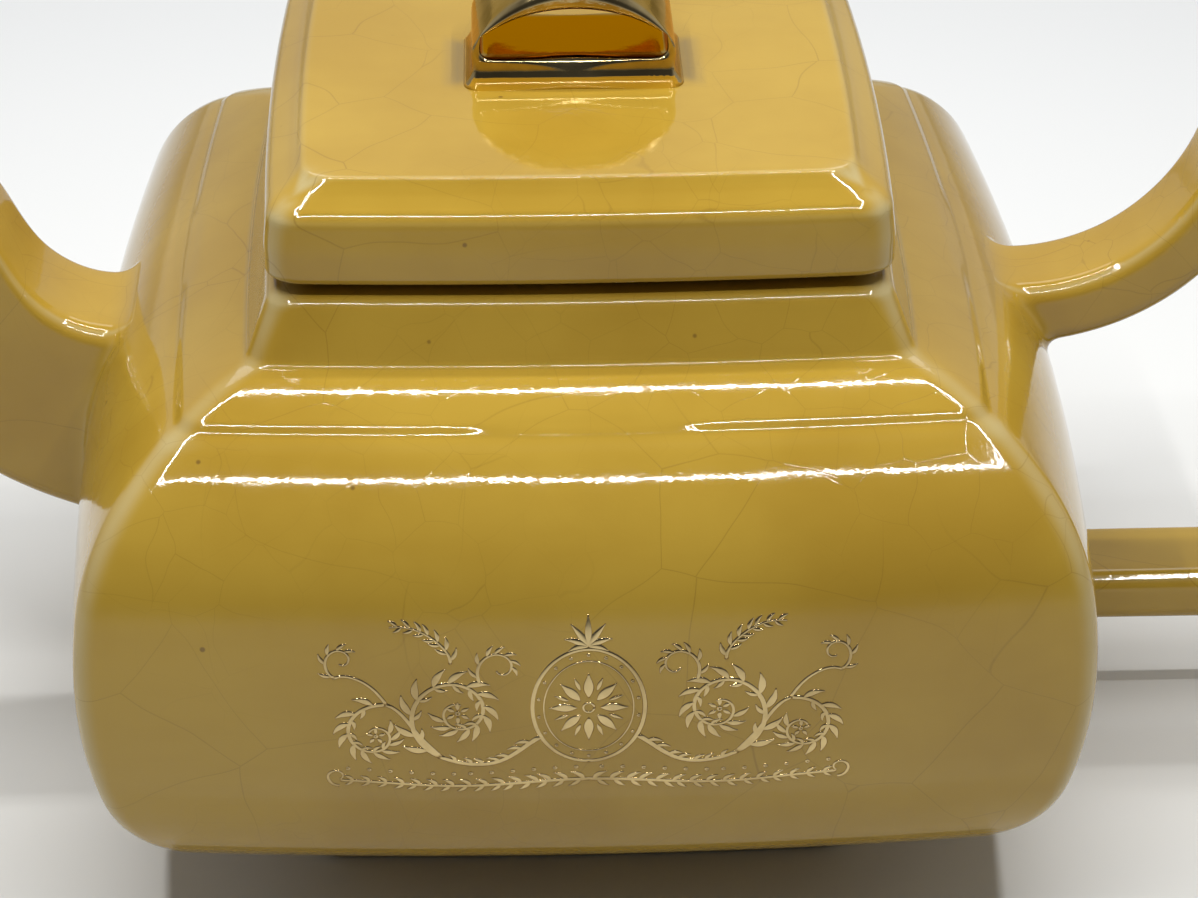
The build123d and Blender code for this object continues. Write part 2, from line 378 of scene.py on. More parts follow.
def make_foot():
    outer = chain(
        arc((FOOT_HALF - FOOT_EDGE, FOOT_EDGE), FOOT_EDGE, -90, 0, 6),
        line((FOOT_HALF, FOOT_EDGE), (FOOT_HALF + 0.5, BASE_Z - 2.2), 6),
        spline([(FOOT_HALF + 0.5, BASE_Z - 2.2), (FOOT_HALF + 2.4, BASE_Z)], (0.05, 1.0), (1.0, 0.25), 6),
    )
    inner_half = FOOT_HALF - FOOT_BAND
    inner = chain(
        line((inner_half, BASE_Z), (inner_half, FOOT_EDGE), 4),
        arc((inner_half + FOOT_EDGE, FOOT_EDGE), FOOT_EDGE, 180, 270, 6),
    )
    outline = np.vstack([outer, inner])
    foot = rings_object("pot_foot", bowed_stack(outline, CORNER_RADIUS), wrap=True)
    hand_made(foot, 0.06, 9.0)
    x, y, z = np.abs(points_of(foot)).T
    # Painted shade: the top of the foot is painted darker where the body's overhanging base shades it.
    painted_shade = 0.7 * bump(z, BASE_Z - 0.6, 1.2)
    mark(foot, "glaze_thin_and_shade", bump(z, 0.6, 1.3) + 0.7 * bump(x - y, 0.0, 2.2) - painted_shade)
    return foot


# ---------------------------------------------------------------- spout and handle

def rounded_rectangle(width, height, radius, straight=5, corner=7):
    """Ring of (across, up) points, starting in the middle of no side and running anticlockwise."""
    w, h = width / 2 - radius, height / 2 - radius
    parts = []
    for (cx, cy), first in (((w, h), 0), ((-w, h), 90), ((-w, -h), 180), ((w, -h), 270)):
        parts.append(arc((cx, cy), radius, first, first + 90, corner))
    ring = []
    for i, part in enumerate(parts):
        after = parts[(i + 1) % 4]
        ring.append(part)
        ring.append(line(part[-1], after[0], straight)[1:-1])
    return np.vstack(ring)


def rooted(paths, blend, ends):
    """Cuts every path at the pot's face and blends it into that face with a small concave flare.

    paths is an array of (steps, ring, 3). ends says which ends of the paths start inside the pot.
    Returns rings from one end to the other.
    """
    steps, size = paths.shape[:2]
    side = np.sign(paths[steps // 2, 0, 0])
    outside = side * paths[..., 0] - face_distance(paths[..., 1], paths[..., 2])
    flares = []
    trimmed = paths
    for end in ends:
        order = slice(None) if end == 0 else slice(None, None, -1)
        track, out = trimmed[order], outside[order]
        rows = [resume_outside(track[:, i], out[:, i], blend) for i in range(size)]
        meeting = np.array([row[0] for row in rows])
        leaving = np.array([row[1] for row in rows])
        trimmed = np.stack([row[2] for row in rows], axis=1)
        middle = meeting.mean(0)
        normal = face_normal(meeting[:, 1], meeting[:, 2]) * (side, 1.0, 1.0)
        away = meeting - middle
        away -= normal * (away * normal).sum(1)[:, None]
        away /= np.linalg.norm(away, axis=1)[:, None]
        landing = meeting + away * blend
        landing[:, 0] = side * face_distance(landing[:, 1], landing[:, 2])
        landing -= normal * 0.05
        buried = landing - normal * 1.2
        flare = [buried]
        for t in np.linspace(0.0, 1.0, 9)[:-1]:
            flare.append((1 - t) ** 2 * landing + 2 * t * (1 - t) * meeting + t**2 * leaving)
        flares.append(flare)
        trimmed = trimmed[order]
        outside = side * trimmed[..., 0] - face_distance(trimmed[..., 1], trimmed[..., 2])
    rings = list(flares[0]) + list(trimmed)
    if len(flares) == 2:
        rings += list(reversed(flares[1]))
    return rings


def resume_outside(track, out, blend):
    """(where a track leaves the pot, a blend further on, the track from there in as many steps)."""
    i = int(np.argmax(out > 0))
    share = -out[i - 1] / (out[i] - out[i - 1])
    meeting = track[i - 1] + share * (track[i] - track[i - 1])
    rest = np.vstack([meeting, track[i:]])
    lengths = np.concatenate([[0.0], np.cumsum(np.linalg.norm(np.diff(rest, axis=0), axis=1))])
    wanted = np.linspace(blend, lengths[-1], len(track))
    kept = np.column_stack([np.interp(wanted, lengths, column) for column in rest.T])
    return meeting, kept[0], kept


def make_spout():
    handle_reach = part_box("handle")[1].x / MM
    lip = np.array([-handle_reach, 87.0])
    back = lip + (11.4, 6.4)
    steps = 60
    roof_points = [(SPOUT_ROOT_X, 62.4), (-60.0, 62.6), (-66.2, 66.4), (-71.0, 75.0), (-81.0, 86.4), back]
    floor_points = [(SPOUT_ROOT_X, 33.6), (-63.1, 36.6), (-73.5, 41.6), (-87.5, 55.0), (-99.0, 71.5), lip]
    roof = spline(roof_points, (-1.0, 0.0), (-1.0, 0.22), steps)
    floor = spline(floor_points, (-1.0, 0.1), (-1.0, 0.8), steps)

    def sections(wall, edge):
        made = []
        for i in range(steps + 1):
            across = unit(roof[i] - floor[i])
            middle = (roof[i] + floor[i]) / 2
            width = np.interp(i / steps, (0, 1), SPOUT_WIDTHS)
            height = np.linalg.norm(roof[i] - floor[i])
            flat = rounded_rectangle(width - 2 * wall, height - 2 * wall, edge)
            x, z = (middle[axis] + across[axis] * flat[:, 1] for axis in (0, 1))
            made.append(np.column_stack([x, flat[:, 0], z]))
        return np.array(made)

    outer = sections(0.0, 2.4)
    bore = sections(SPOUT_WALL, 1.3)
    outer_rings = rooted(outer, 2.4, (0,))
    depth = -bore[..., 0] - face_distance(bore[..., 1], bore[..., 2])
    first_clear = int(np.argmax((depth > -1.0).all(axis=1)))
    inner_rings = list(bore[first_clear:])
    lip_rings = []
    for t in (0.25, 0.5, 0.75):
        bulge = 0.55 * math.sin(math.pi * t)
        heading = (roof[-1] - roof[-2]) + (floor[-1] - floor[-2])
        ahead = unit((heading[0], 0.0, heading[1]))
        lip_rings.append(outer[-1] * (1 - t) + bore[-1] * t + ahead * (bulge - 0.55))
    outer_rings[-1] = outer_rings[-1] - ahead * 0.55
    inner_rings[-1] = inner_rings[-1] - ahead * 0.55
    spout = rings_object("pot_spout", outer_rings + lip_rings + inner_rings[::-1], wrap=True)
    hand_made(spout, 0.06, 12.0)
    x, y = points_of(spout).T[:2]
    width_here = np.interp(-x, (50, -lip[0]), SPOUT_WIDTHS) / 2
    mark(spout, "glaze_thin_and_shade", 0.9 * bump(np.abs(y), width_here - 0.8, 0.45))
    return spout


def strap_line():
    """Middle line of the handle in the XZ plane, from the shoulder over and back to the wall."""
    start = np.array([SWEEP_START_X, UPPER_ARM_Z])
    sweep = arc(start + (0, SWEEP_RADIUS), SWEEP_RADIUS, -90, -90 + SWEEP_ANGLE, 40)
    out = np.radians(-90 + SWEEP_ANGLE)
    top_centre = sweep[-1] + LOOP_TOP_RADIUS * np.array([-math.cos(out), -math.sin(out)]) * -1
    top = arc(top_centre, LOOP_TOP_RADIUS, 90 + SWEEP_ANGLE, -LEG_LEAN, 60)
    lean = math.radians(LEG_LEAN)
    drop = top[-1][1] - LOWER_ARM_Z - HEEL_RADIUS * (1 - math.sin(lean))
    foot = top[-1] + np.array([-math.tan(lean), -1.0]) * drop
    heel_centre = foot - HEEL_RADIUS * np.array([math.cos(lean), -math.sin(lean)])
    heel = arc(heel_centre, HEEL_RADIUS, -LEG_LEAN, -90, 30)
    first = line((ARM_ROOT_X, UPPER_ARM_Z), start, 6)
    leg = line(top[-1], foot, 8)
    lower_arm = line(heel[-1], (ARM_ROOT_X, LOWER_ARM_Z), 12)
    return even(chain(first, sweep, top, leg, heel, lower_arm), 220)


def make_handle():
    middle = strap_line()
    ahead = np.gradient(middle, axis=0)
    ahead /= np.linalg.norm(ahead, axis=1)[:, None]
    share = np.linspace(0, 1, len(middle))
    thickness = np.interp(share, (0, 0.12, 0.35, 0.7, 1), (8.2, 8.2, STRAP_THICKNESS, STRAP_THICKNESS, 6.9))
    paths = []
    for (x, z), (dx, dz), thick in zip(middle, ahead, thickness):
        flat = rounded_rectangle(STRAP_WIDTH, thick, 2.3)
        paths.append(np.column_stack([x - dz * flat[:, 1], flat[:, 0], z + dx * flat[:, 1]]))
    handle = rings_object("pot_handle", rooted(np.array(paths), 2.6, (0, 1)))
    hand_made(handle, 0.06, 12.0)
    y = np.abs(points_of(handle)[:, 1])
    mark(handle, "glaze_thin_and_shade", 0.9 * bump(y, STRAP_WIDTH / 2 - 0.8, 0.45))
    return handle


# ---------------------------------------------------------------- lid

def lid_outer():
    """Outside outline of the lid, from its seat to the edge of its flat top."""
    foot = arc((LID_HALF - LID_FOOT_ROUND, LID_Z + LID_FOOT_ROUND), LID_FOOT_ROUND, -90, 0, 6)
    skirt_top = (LID_HALF - 0.3, LID_Z + SKIRT_HEIGHT)
    skirt = chain(
        line(foot[-1], (LID_HALF, LID_Z + 3.3), 4),
        spline([(LID_HALF, LID_Z + 3.3), skirt_top], (0.0, 1.0), (-0.10, 1.0), 8),
    )
    turn = 60.0
    shoulder = arc((LID_HALF - 0.3 - LID_SHOULDER_ROUND, skirt[-1][1]), LID_SHOULDER_ROUND, 5.7, turn, 10)
    edge = (TABLE_HALF + 0.25, TABLE_Z - 0.28)
    slope = spline([shoulder[-1], edge], shoulder[-1] - shoulder[-2], (-0.66, 0.75), 10)
    crest = spline([edge, (TABLE_HALF - 0.6, TABLE_Z)], (-0.66, 0.75), (-1.0, 0.0), 6)
    return chain(foot, skirt, shoulder, slope, crest)


def make_lid():
    outer = lid_outer()
    inner_half = FLANGE_HALF - FLANGE_BAND
    ceiling = LID_Z + LID_HEIGHT - LID_TOP
    top = line(outer[-1], (1.0, TABLE_Z), 14)
    under = chain(
        line((1.0, ceiling), (inner_half - 1.0, ceiling), 6),
        arc((inner_half - 1.0, ceiling - 1.0), 1.0, 90, 0, 4),
        line((inner_half, ceiling - 1.0), (inner_half, RIM_TOP + 0.1), 3),
        line((inner_half, RIM_TOP + 0.1), (32.2, RIM_TOP + 0.1), 3),
        spline([(32.2, RIM_TOP + 0.1), outer[0]], (1.0, 0.1), (1.0, 0.1), 6),
    )
    outline = np.vstack([under[:-1], outer, top[1:]])
    lid = rings_object("lid_cover", bowed_stack(outline, LID_CORNER))
    cut(lid, vent_cutter())
    hand_made(lid, 0.022, 13.0)
    x, y, z = points_of(lid).T
    x, y = np.abs(x), np.abs(y)
    edge = np.maximum(x, y) - (TABLE_HALF**2 - np.minimum(x, y) ** 2) / (2 * BOW_RADIUS)
    thin = 0.9 * bump(x - y, 0.0, 2.4) * np.clip((edge - TABLE_HALF + 3) / 3, 0, 1)
    thin += 0.45 * bump(edge, TABLE_HALF - 0.1, 0.7) + 0.5 * bump(z, LID_Z + 0.3, 0.7)
    thin += 0.5 * bump(z, LID_Z + SKIRT_HEIGHT + 0.9, 0.6)
    around_knob = np.hypot(x - KNOB_HALF - 0.4, np.maximum(y - 5.0, 0))
    # Darker in a narrow band just outside the crest edge.
    mark(lid, "glaze_thin_and_shade", thin - 0.4 * bump(edge, TABLE_HALF + 1.4, 0.6))
    mark(lid, "soot", 0.75 * bump(around_knob, 0.0, 1.5) * (z > TABLE_Z - 1))
    return lid


def vent_cutter():
    """Rod with a flared top, for the steam hole behind the knob."""
    rings = []
    for z, radius in ((-2.0, 1.0), (-0.45, 1.0), (-0.2, 1.05), (0.0, 1.22), (0.3, 1.7)):
        height = TABLE_Z + z if z > -1 else TABLE_Z - LID_TOP - 2
        circle = arc((0, VENT_Y), radius * VENT_HOLE / 2, 0, 360, 32)[:-1]
        rings.append(np.column_stack([circle, np.full(32, height)]))
    return rings_object("vent_cutter", rings)


def make_flange():
    outer, inner = FLANGE_HALF, FLANGE_HALF - FLANGE_BAND
    low = LID_Z - FLANGE_DEPTH
    outline = chain(
        line((outer, LID_Z), (outer - 0.3, low + 1.0), 4),
        arc((outer - 1.3, low + 1.0), 1.0, 0, -90, 5),
        line((outer - 1.3, low), (inner + 1.3, low), 2),
        arc((inner + 1.3, low + 1.0), 1.0, -90, -180, 5),
        line((inner + 0.3, low + 1.0), (inner, LID_Z), 4),
    )
    flange = rings_object("lid_flange_ring", bowed_stack(outline, CORNER_RADIUS), wrap=True)
    hand_made(flange, 0.08, 10.0)
    mark(flange, "glaze_thin_and_shade", np.full(len(flange.data.vertices), 0.6))
    return flange


# ---------------------------------------------------------------- knob

KNOB_HALF = 13.2
KNOB_DEPTH = 14.4
KNOB_HEIGHT = 12.3
EAVES = (11.9, 5.2)
SILL = 3.5
PINCH_HALF = 11.1
PINCH_SIDE = 2.8
PINCH_RISE = 3.1


def radial_hits(outline, centre, angles):
    """Where rays from a centre meet a closed outline, one point for each angle."""
    closed = np.vstack([outline, outline[:1]]) - centre
    dense = np.linspace(0, len(closed) - 1, 40 * len(closed))
    track = np.column_stack([np.interp(dense, np.arange(len(closed)), column) for column in closed.T])
    bearing = np.unwrap(np.arctan2(track[:, 1], track[:, 0]))
    reach = np.hypot(track[:, 0], track[:, 1])
    turns = (angles - bearing[0]) % (2 * math.pi) + bearing[0]
    found = np.interp(turns, bearing, reach)
    return centre + found[:, None] * np.column_stack([np.cos(angles), np.sin(angles)])


def knob_flare(z):
    """How far the knob's foot spreads at a height above the lid."""
    return 1.35 * np.clip(1 - z / 2.6, 0, 1.1) ** 2.4


def knob_section(span, half, inner_round, outer_round):
    """Section of the bridge from its opening outward, as (outward, depth), and the way each point faces."""
    quarter = np.radians(np.linspace(0, 90, 9))[:, None]
    inner_arc = np.column_stack([-np.cos(quarter), np.sin(quarter)])
    outer_arc = np.column_stack([np.sin(quarter), np.cos(quarter)])
    points = chain(
        line((0.0, 0.0), (0.0, half - inner_round), 8),
        np.array([inner_round, half - inner_round]) + inner_round * inner_arc,
        line((inner_round, half), (span - outer_round, half), 12),
        np.array([span - outer_round, half - outer_round]) + outer_round * outer_arc,
        line((span, half - outer_round), (span, 0.0), 8),
    )
    facing = chain(
        np.tile((-1.0, 0.0), (9, 1)),
        inner_arc,
        np.tile((0.0, 1.0), (13, 1)),
        outer_arc,
        np.tile((1.0, 0.0), (9, 1)),
    )
    mirror = (1, -1)
    return np.vstack([points, points[-2:0:-1] * mirror]), np.vstack([facing, facing[-2:0:-1] * mirror])


def make_knob():
    roof = arc_through(EAVES, (0.0, KNOB_HEIGHT), (-EAVES[0], EAVES[1]), 60)
    outside = chain(
        line((0.0, -0.4), (12.1, -0.4), 12),
        line((12.1, -0.4), (12.1, 2.0), 8),
        spline([(12.1, 2.0), EAVES], (0.0, 1.0), roof[1] - roof[0], 6),
        roof,
        spline([(-EAVES[0], EAVES[1]), (-12.1, 2.0)], roof[-1] - roof[-2], (0.0, -1.0), 6),
        line((-12.1, 2.0), (-12.1, -0.4), 8),
        line((-12.1, -0.4), (0.0, -0.4), 12),
    )[:-1]
    corner = 1.0
    eave = SILL + PINCH_SIDE
    arch = arc_through((PINCH_HALF, eave), (0.0, eave + PINCH_RISE), (-PINCH_HALF, eave), 50)
    opening = chain(
        line((0.0, SILL), (PINCH_HALF - corner, SILL), 12),
        arc((PINCH_HALF - corner, SILL + corner), corner, -90, 0, 6),
        line((PINCH_HALF, SILL + corner), (PINCH_HALF, SILL + PINCH_SIDE), 3),
        arch,
        line((-PINCH_HALF, SILL + PINCH_SIDE), (-PINCH_HALF, SILL + corner), 3),
        arc((-PINCH_HALF + corner, SILL + corner), corner, 180, 270, 6),
        line((-PINCH_HALF + corner, SILL), (0.0, SILL), 12),
    )[:-1]
    centre = np.array([0.0, SILL + 2.2])
    angles = np.linspace(0, 2 * math.pi, 241)[:-1]
    inner = radial_hits(opening, centre, angles)
    outer = radial_hits(outside, centre, angles)
    rings = []
    for (ix, iz), (ox, oz) in zip(inner, outer):
        span = math.hypot(ox - ix, oz - iz)
        out = np.array([ox - ix, oz - iz]) / span
        at_sill = np.clip((SILL + 1.0 - iz) / 1.0, 0, 1)
        high = np.clip((oz - 1.5) / 3.0, 0, 1)
        inner_round = min(1.15 + 0.45 * at_sill, 0.52 * span)
        outer_round = min(0.75 + 0.55 * high, 0.44 * span)
        section, facing = knob_section(span, KNOB_DEPTH / 2, inner_round, outer_round)
        place = np.array([ix, iz]) + section[:, :1] * out
        spread = knob_flare(place[:, 1])
        y = section[:, 1] + facing[:, 1] * spread
        x = place[:, 0] + np.sign(place[:, 0]) * 0.8 * spread * np.maximum(facing[:, 0], 0) * (abs(ox) > 12.0)
        rings.append(np.column_stack([x, y, place[:, 1] + TABLE_Z]))
    knob = rings_object("lid_knob", rings, wrap=True)
    hand_made(knob, 0.03, 5.0)
    x, y, z = points_of(knob).T
    above = z - TABLE_Z
    # Painted bounce light: the floor of the opening is painted a deep orange-gold for the gold's light thrown
    # back onto it in the shade under the bridge.
    floor = (np.abs(x) < PINCH_HALF - 0.2) & (np.abs(above - SILL) < 0.25)
    mark(knob, "painted_gold_bounce", floor * np.clip((KNOB_DEPTH / 2 - 1.3 - np.abs(y)) / 0.4, 0, 1))
    side = np.clip((np.abs(x) - 12.0) / 0.5, 0, 1)
    mark(knob, "gilded", np.clip((above - 1.0 + 0.9 * side) / 0.35, 0, 1))
    return knob


# ---------------------------------------------------------------- gilded ornament on the front

def spiral(centre, radii, angles, count=48):
    """Line that winds about a centre from one radius and angle in degrees to another."""
    turn = np.radians(np.linspace(*angles, count + 1))
    radius = np.geomspace(*radii, count + 1)
    return np.asarray(centre) + radius[:, None] * np.column_stack([np.cos(turn), np.sin(turn)])


def taper(points, thick, thin):
    return points, np.linspace(thick, thin, len(points))


def leaf(base, direction, length, width, curl=0.0):
    """Pointed leaf as one stroke: widest near its middle and bending by curl degrees."""
    share = np.linspace(0, 1, 13)
    heading = np.radians(direction + curl * share[1:])
    steps = np.column_stack([np.cos(heading), np.sin(heading)]) * length / 12
    points = np.vstack([base, np.asarray(base) + np.cumsum(steps, axis=0)])
    return points, 0.07 + width * np.sin(math.pi * share**0.8) ** 1.3


def leaves_on(points, first, last, count, side, length, width):
    """Leaves along one side of a line, each leaning forward and curling back."""
    found = []
    for share in np.linspace(first, last, count):
        i = int(share * (len(points) - 2))
        ahead = points[i + 1] - points[i]
        heading = math.degrees(math.atan2(ahead[1], ahead[0]))
        size = 1.0 - 0.35 * share
        found.append(leaf(points[i], heading + side * 62, length * size, width * size, -side * 48))
    return found


def flower(centre, reach, petals, width):
    found = []
    for turn in range(petals):
        angle = 90 + 360 * turn / petals
        out = np.array([math.cos(math.radians(angle)), math.sin(math.radians(angle))])
        found.append(leaf(centre + out * reach * 0.3, angle, reach * 0.7, width))
    found.append(taper(spiral(centre, (reach * 0.14, reach * 0.14), (0, 360), 16), 0.16, 0.16))
    return found


def medallion():
    """Oval frame with beads round a two-tier rosette, and a palmette above."""
    centre = np.array([0.0, 41.0])
    found = []
    oval = spiral((0, 0), (1.0, 1.0), (-90, 270), 72)
    for reach, width in ((1.0, 0.30), (0.80, 0.12)):
        found.append(taper(centre + oval * (6.4, 7.6) * reach, width, width))
    for bead in oval[:-1:4] * (5.76, 6.84):
        found.append(taper(spiral(centre + bead, (0.13, 0.13), (0, 360), 8), 0.13, 0.13))
    found += flower(centre, 4.5, 8, 0.62)
    for turn in range(8):
        angle = 112.5 + 45 * turn
        out = np.array([math.cos(math.radians(angle)), math.sin(math.radians(angle))])
        found.append(leaf(centre + out * 2.5, angle, 1.7, 0.22))
    for angle, length in ((90, 3.9), (62, 3.4), (118, 3.4), (34, 2.9), (146, 2.9), (8, 2.4), (172, 2.4)):
        found.append(leaf((0.0, 48.9), angle, length, 0.42, (angle - 90) * 0.5))
    return found


def side_scroll():
    """The scrollwork on the right of the medallion."""
    stem = spline([(5.6, 37.0), (10.5, 33.4), (17.0, 34.2)], (0.9, -0.6), (0.9, 0.5), 20)
    inner = spiral((14.9, 40.4), (6.55, 1.1), (-72, 470), 70)
    outer_link = spline([(17.0, 34.2), (19.6, 37.6), (23.0, 41.6)], (0.6, 0.8), (0.9, 0.35), 16)
    outer = spiral((24.3, 37.2), (4.5, 0.9), (104, -330), 54)
    tendril = spline([(23.0, 41.6), (25.6, 44.6), (28.8, 45.0)], (0.5, 0.9), (0.8, -0.6), 16)
    curl = spiral((27.9, 47.3), (2.4, 0.5), (-68, 300), 40)
    spray = spline([(15.6, 46.9), (17.0, 49.6), (22.4, 51.4)], (-0.1, 1.0), (1.0, -0.2), 20)
    small = spiral((9.9, 46.3), (3.1, 0.6), (-40, 330), 44)
    found = [
        taper(spray, 0.26, 0.12),
        taper(small, 0.27, 0.13),
        taper(stem, 0.40, 0.36),
        taper(inner, 0.40, 0.17),
        taper(outer_link, 0.34, 0.28),
        taper(outer, 0.34, 0.16),
        taper(tendril, 0.26, 0.22),
        taper(curl, 0.24, 0.13),
    ]
    found += leaves_on(spray, 0.10, 0.96, 7, 1, 1.9, 0.30)
    found += leaves_on(spray, 0.18, 0.90, 6, -1, 1.7, 0.28)
    found += leaves_on(small, 0.05, 0.60, 7, -1, 1.7, 0.27)
    found += leaves_on(inner, 0.03, 0.74, 15, -1, 3.2, 0.52)
    found += leaves_on(inner, 0.06, 0.60, 10, 1, 1.9, 0.32)
    found += leaves_on(outer, 0.05, 0.70, 11, 1, 2.7, 0.44)
    found += leaves_on(outer, 0.08, 0.52, 7, -1, 1.5, 0.26)
    found += leaves_on(curl, 0.05, 0.50, 5, -1, 1.6, 0.26)
    found += leaves_on(stem, 0.12, 0.92, 7, 1, 2.0, 0.32)
    found += flower(np.array([14.9, 40.4]), 1.5, 6, 0.26)
    found += flower(np.array([24.3, 37.2]), 1.2, 5, 0.22)
    return found


def ground_line():
    """Leafy border under the scrollwork, from the middle to its curled right end."""
    x = np.linspace(0.0, 28.6, 60)
    border = np.column_stack([x, 30.6 - 0.9 * np.sin(math.pi * x / 30.0) ** 2])
    curl = spiral((28.9, 31.2), (1.5, 0.5), (-95, 240), 30)
    found = [taper(border, 0.34, 0.26), taper(curl, 0.26, 0.13)]
    found += leaves_on(border, 0.02, 0.97, 15, 1, 2.1, 0.36)
    found += leaves_on(border, 0.05, 0.97, 15, -1, 1.8, 0.30)
    for share in np.linspace(0.05, 0.95, 12):
        berry = border[int(share * 59)] + (0.5, 1.9)
        found.append(taper(spiral(berry, (0.17, 0.17), (0, 360), 8), 0.15, 0.15))
    return found


def make_ornament():
    """Scrollwork in raised gold, laid on the pot's front face."""
    right = side_scroll() + ground_line()
    left = [(points * (-1, 1), widths) for points, widths in right]
    profile = np.array([(-1.0, -0.35), (-0.62, 0.8), (0.0, 1.0), (0.62, 0.8), (1.0, -0.35), (0.0, -0.8)])
    edge = (0.0, 1.0, 1.0, 1.0, 0.0, 0.0)
    height = 0.085
    points, faces, gilded = [], [], []
    for track, widths in medallion() + right + left:
        start, count = len(points), len(track)
        ahead = np.gradient(track, axis=0)
        ahead /= np.linalg.norm(ahead, axis=1)[:, None]
        beside = np.column_stack([-ahead[:, 1], ahead[:, 0]])
        for spot, over, width in zip(track, beside, widths):
            for across, up in profile:
                x, z = spot + over * across * width
                points.append((x, -float(face_distance(x, z)) - up * height, z))
        gilded += list(edge) * count
        faces += [tuple(start + i for i in face) for face in ring_faces(count, 6)]
        faces.append(tuple(range(start, start + 6)))
        faces.append(tuple(start + (count - 1) * 6 + i for i in range(5, -1, -1)))
    ornament = mesh_object("front_ornament", points, faces)
    mark(ornament, "gilded", gilded)
    return ornament


body = make_body()
foot = make_foot()
spout = make_spout()
handle = make_handle()
lid = make_lid()
flange = make_flange()
knob = make_knob()

PIECES = (
    (body, "pot", "body_shell", "glaze"),
    (foot, "pot", "foot_rim", "glaze"),
    (spout, "pot", "spout", "glaze"),
    (handle, "pot", "handle", "glaze"),
    (lid, "lid", "lid_shell", "glaze"),
    (flange, "lid", "lid_flange", "bisque"),
    (knob, "lid", "knob", "gilding"),
)
for piece, rides_on, node, finish in PIECES:
    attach(piece, rides_on)
    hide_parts(node)
ornament = make_ornament()
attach(ornament, "pot")


# ---------------------------------------------------------------- materials

class Shader:
    """Short ways to add and link nodes in one material."""

    def __init__(self, name):
        self.material = bpy.data.materials.new(name)
        self.material.use_nodes = True
        self.nodes = self.material.node_tree.nodes
        self.links = self.material.node_tree.links
        self.surface = self.nodes["Principled BSDF"]
        self.place = self.add("ShaderNodeTexCoord").outputs["Object"]

    def add(self, kind, inputs=None, **settings):
        node = self.nodes.new(kind)
        for key, value in settings.items():
            setattr(node, key, value)
        for key, value in (inputs or {}).items():
            self.feed(node.inputs[key], value)
        return node

    def feed(self, socket, value):
        if isinstance(value, bpy.types.NodeSocket):
            self.links.new(value, socket)
        else:
            socket.default_value = value

    def math(self, operation, a, b=0.0):
        return self.add("ShaderNodeMath", {0: a, 1: b}, operation=operation).outputs[0]

    def ramp(self, value, low, high, to_low=0.0, to_high=1.0):
        inputs = {"Value": value, "From Min": low, "From Max": high, "To Min": to_low, "To Max": to_high}
        return self.add("ShaderNodeMapRange", inputs, interpolation_type="SMOOTHSTEP").outputs["Result"]

    def mix(self, share, a, b, blend="MIX"):
        node = self.add("ShaderNodeMix", data_type="RGBA", blend_type=blend)
        self.feed(node.inputs["Factor"], share)
        self.feed(node.inputs["A"], a if isinstance(a, bpy.types.NodeSocket) else (*a, 1.0))
        self.feed(node.inputs["B"], b if isinstance(b, bpy.types.NodeSocket) else (*b, 1.0))
        return [s for s in node.outputs if s.type == "RGBA"][0]

    def noise(self, place, scale, detail=3.0, roughness=0.5):
        inputs = {"Vector": place, "Scale": scale, "Detail": detail, "Roughness": roughness}
        return self.add("ShaderNodeTexNoise", inputs)

    def attribute(self, name):
        return self.add("ShaderNodeAttribute", attribute_name=name).outputs["Fac"]


def crackle(shader, scale, wobble, width):
    """1 on the thin lines of a crackled glaze, 0 between them."""
    shift = shader.noise(shader.place, scale * 0.9, 1.5).outputs["Color"]
    from_middle = {0: shift, 1: (0.5, 0.5, 0.5)}
    centred = shader.add("ShaderNodeVectorMath", from_middle, operation="SUBTRACT").outputs[0]
    scaled = shader.add("ShaderNodeVectorMath", {0: centred, "Scale": wobble}, operation="SCALE").outputs[0]
    moved = shader.add("ShaderNodeVectorMath", {0: shader.place, 1: scaled}, operation="ADD").outputs[0]
    cells = shader.add("ShaderNodeTexVoronoi", {"Vector": moved, "Scale": scale}, feature="DISTANCE_TO_EDGE")
    return shader.ramp(cells.outputs["Distance"], 0.0, width, 1.0, 0.0)


